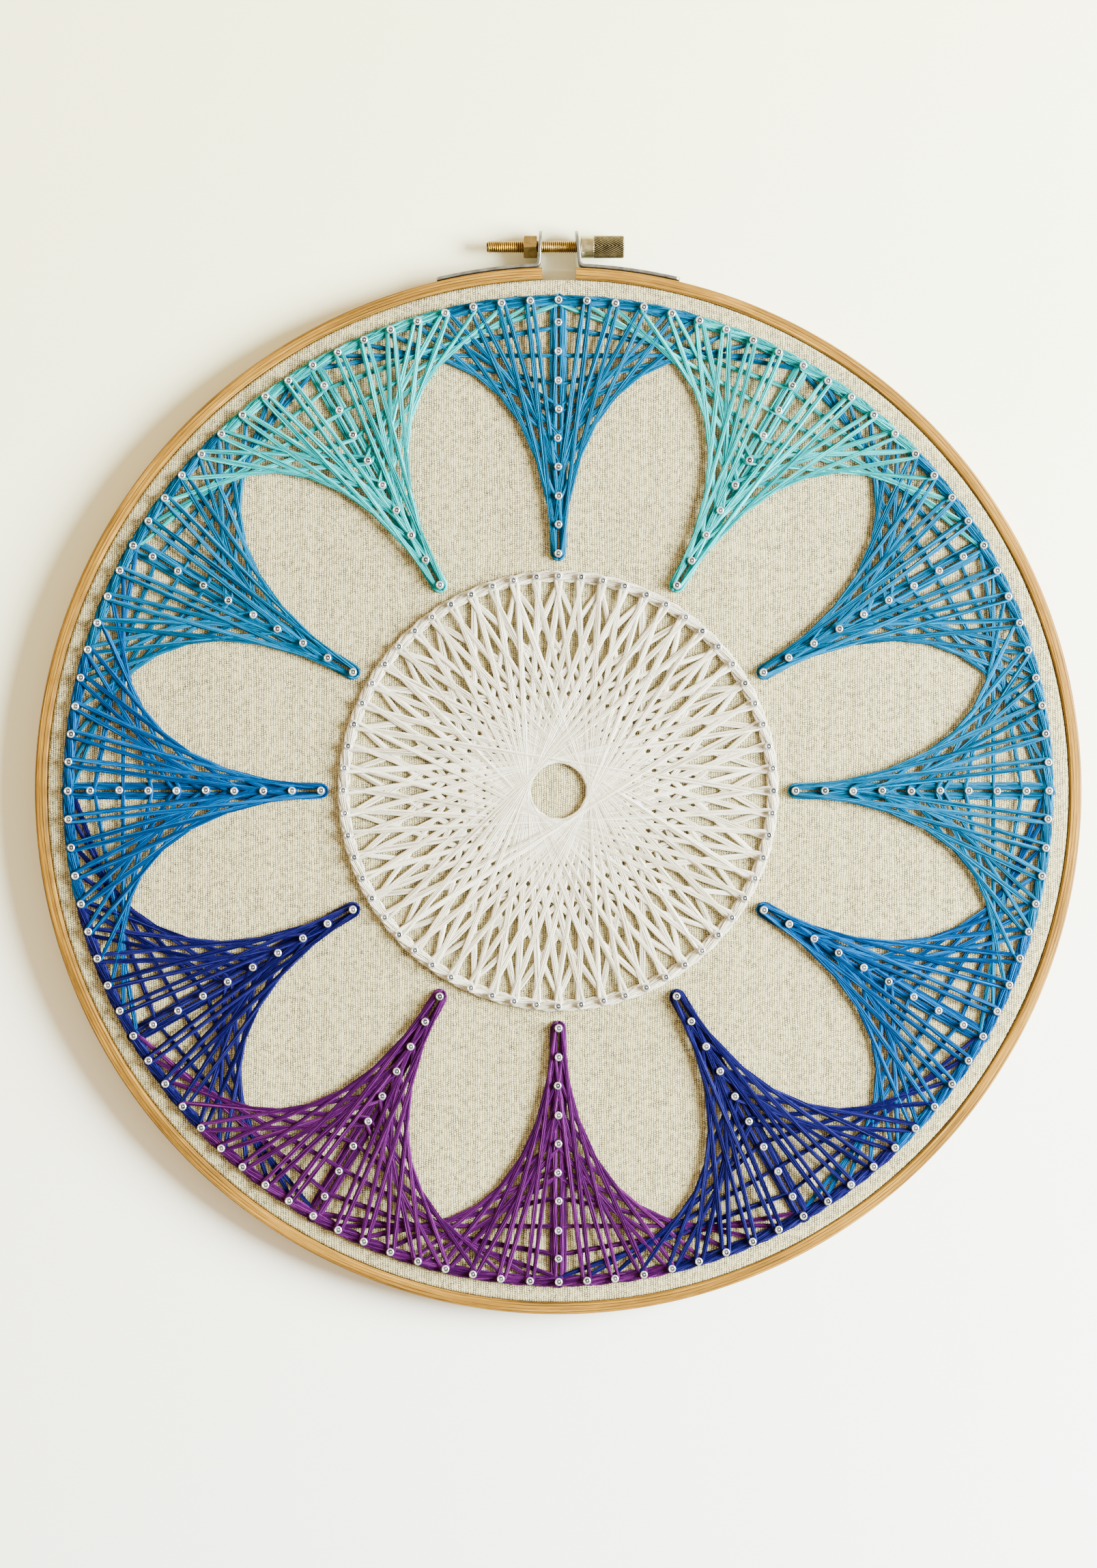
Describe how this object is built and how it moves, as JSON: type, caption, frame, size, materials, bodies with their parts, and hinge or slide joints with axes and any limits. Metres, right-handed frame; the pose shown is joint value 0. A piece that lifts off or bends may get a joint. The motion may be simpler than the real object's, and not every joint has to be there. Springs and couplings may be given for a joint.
{
  "type": "hoop embroidery art, threads wound on pins over cloth, with its wooden embroidery hoop",
  "caption": "Round wooden screw hoop holding tight canvas, with coloured threads strung on pins in a curve-stitched wheel round a white net.",
  "frame": {"origin": "middle of the footprint's bounding box, on the surface that the back of the hoop rests on", "axes": "+Z out of the front of the cloth, +Y from the middle of the hoop towards its clamp, +X to the right seen from the front"},
  "size_m": [0.305, 0.3162, 0.0132],
  "materials": {
    "hoop_wood": "pale bamboo with fine growth lines round the ring, satin",
    "canvas": "coarse cream cotton canvas, plain weave",
    "clamp_steel": "nickelled steel, slightly worn",
    "screw_brass": "bright brass, dull in the thread",
    "pin_steel": "bright steel nail heads",
    "aqua_thread": "stranded cotton, silky",
    "blue_thread": "stranded cotton, silky",
    "indigo_thread": "stranded cotton, silky",
    "purple_thread": "stranded cotton, silky",
    "white_thread": "stranded cotton, silky"
  },
  "bodies": {
    "root": {"outer_ring": "hoop_wood", "inner_ring": "hoop_wood", "cloth": "canvas", "bracket_left": "clamp_steel", "bracket_right": "clamp_steel", "screw_rod": "screw_brass", "hex_nut": "screw_brass", "knurled_head": "clamp_steel", "centre_web": "white_thread", "ring_band_01": "blue_thread", "ring_band_02": "aqua_thread", "ring_band_03": "blue_thread", "ring_band_04": "blue_thread", "ring_band_05": "blue_thread", "ring_band_06": "indigo_thread", "ring_band_07": "purple_thread", "ring_band_08": "purple_thread", "ring_band_09": "indigo_thread", "ring_band_10": "blue_thread", "ring_band_11": "blue_thread", "ring_band_12": "aqua_thread", "spoke_web_01": "blue_thread", "spoke_web_02": "aqua_thread", "spoke_web_03": "blue_thread", "spoke_web_04": "blue_thread", "spoke_web_05": "blue_thread", "spoke_web_06": "indigo_thread", "spoke_web_07": "purple_thread", "spoke_web_08": "purple_thread", "spoke_web_09": "indigo_thread", "spoke_web_10": "blue_thread", "spoke_web_11": "blue_thread", "spoke_web_12": "aqua_thread"}
  },
  "joints": []
}
